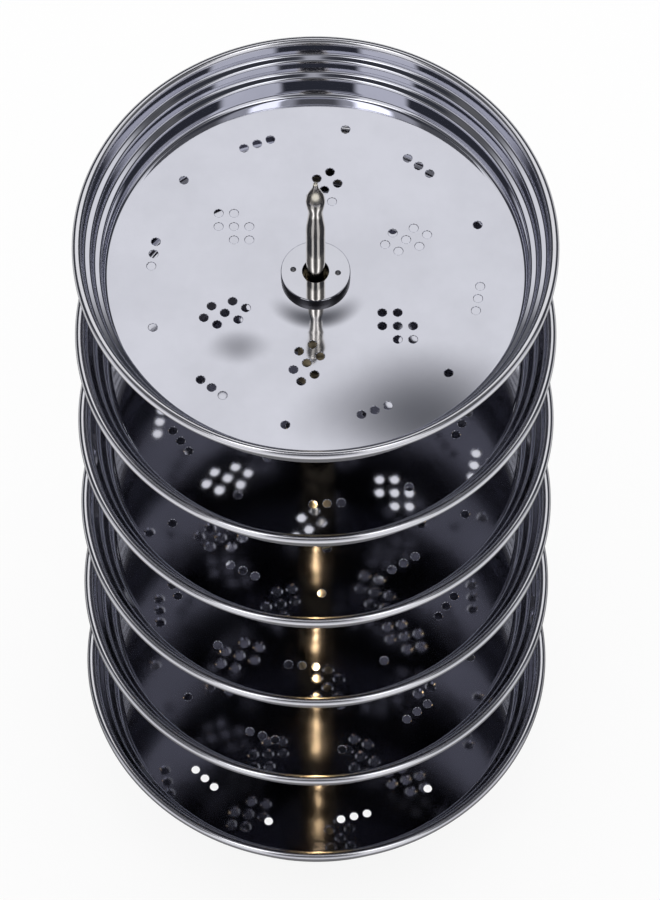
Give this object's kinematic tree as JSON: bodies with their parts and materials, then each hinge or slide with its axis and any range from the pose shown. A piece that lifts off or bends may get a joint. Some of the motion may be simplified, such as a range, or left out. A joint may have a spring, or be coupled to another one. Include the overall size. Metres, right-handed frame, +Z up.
{
  "type": "idli tray stand",
  "caption": "Tall stand of round perforated steaming trays that lift off and turn on a central rod with a turned handle.",
  "frame": {"origin": "centre of the foot's underside, on the surface that the stand rests on", "axes": "+Z up along the rod; the picture looks along +Y from above, with +X to its right"},
  "size_m": [0.12, 0.12, 0.2812],
  "materials": {
    "mirror_tray": "mirror-polished pressed stainless steel",
    "tube_steel": "polished drawn tube",
    "hub_steel": "mirror-polished disc",
    "rivet_steel": "set rivet, dull head",
    "drawn_rod": "bright drawn rod",
    "turned_handle": "turned and polished",
    "bright_fittings": "bright machined nut and washer",
    "polished_foot": "polished pressed sheet"
  },
  "bodies": {
    "stand": {"foot": "polished_foot", "foot_washer": "bright_fittings", "lower_nut": "bright_fittings", "upper_nut": "bright_fittings", "rod": "drawn_rod", "handle": "turned_handle"},
    "spacer_1_body": {"spacer_1": "tube_steel"},
    "tray_1_body": {"tray_1": "mirror_tray", "hub_disc_1": "hub_steel", "hub_rivets_1": "rivet_steel"},
    "spacer_2_body": {"spacer_2": "tube_steel"},
    "tray_2_body": {"tray_2": "mirror_tray", "hub_disc_2": "hub_steel", "hub_rivets_2": "rivet_steel"},
    "spacer_3_body": {"spacer_3": "tube_steel"},
    "tray_3_body": {"tray_3": "mirror_tray", "hub_disc_3": "hub_steel", "hub_rivets_3": "rivet_steel"},
    "spacer_4_body": {"spacer_4": "tube_steel"},
    "tray_4_body": {"tray_4": "mirror_tray", "hub_disc_4": "hub_steel", "hub_rivets_4": "rivet_steel"},
    "spacer_5_body": {"spacer_5": "tube_steel"},
    "tray_5_body": {"tray_5": "mirror_tray", "hub_disc_5": "hub_steel", "hub_rivets_5": "rivet_steel"},
    "spacer_6_body": {"spacer_6": "tube_steel"},
    "tray_6_body": {"tray_6": "mirror_tray", "hub_disc_6": "hub_steel", "hub_rivets_6": "rivet_steel"}
  },
  "joints": [
    {"name": "lift_1", "type": "slide", "parent": "stand", "child": "spacer_1_body", "axis": [0, 0, 1], "range_m": [0, 0.2682]},
    {"name": "spin_1", "type": "hinge", "parent": "spacer_1_body", "child": "tray_1_body", "pos_m": [0, 0, 0.0207], "axis": [0, 0, 1], "continuous": true},
    {"name": "lift_2", "type": "slide", "parent": "tray_1_body", "child": "spacer_2_body", "axis": [0, 0, 1], "range_m": [0, 0.26]},
    {"name": "spin_2", "type": "hinge", "parent": "spacer_2_body", "child": "tray_2_body", "pos_m": [0, 0, 0.0637], "axis": [0, 0, 1], "continuous": true},
    {"name": "lift_3", "type": "slide", "parent": "tray_2_body", "child": "spacer_3_body", "axis": [0, 0, 1], "range_m": [0, 0.217]},
    {"name": "spin_3", "type": "hinge", "parent": "spacer_3_body", "child": "tray_3_body", "pos_m": [0, 0, 0.1067], "axis": [0, 0, 1], "continuous": true},
    {"name": "lift_4", "type": "slide", "parent": "tray_3_body", "child": "spacer_4_body", "axis": [0, 0, 1], "range_m": [0, 0.174]},
    {"name": "spin_4", "type": "hinge", "parent": "spacer_4_body", "child": "tray_4_body", "pos_m": [0, 0, 0.1497], "axis": [0, 0, 1], "continuous": true},
    {"name": "lift_5", "type": "slide", "parent": "tray_4_body", "child": "spacer_5_body", "axis": [0, 0, 1], "range_m": [0, 0.131]},
    {"name": "spin_5", "type": "hinge", "parent": "spacer_5_body", "child": "tray_5_body", "pos_m": [0, 0, 0.1927], "axis": [0, 0, 1], "continuous": true},
    {"name": "lift_6", "type": "slide", "parent": "tray_5_body", "child": "spacer_6_body", "axis": [0, 0, 1], "range_m": [0, 0.088]},
    {"name": "spin_6", "type": "hinge", "parent": "spacer_6_body", "child": "tray_6_body", "pos_m": [0, 0, 0.2357], "axis": [0, 0, 1], "continuous": true}
  ]
}
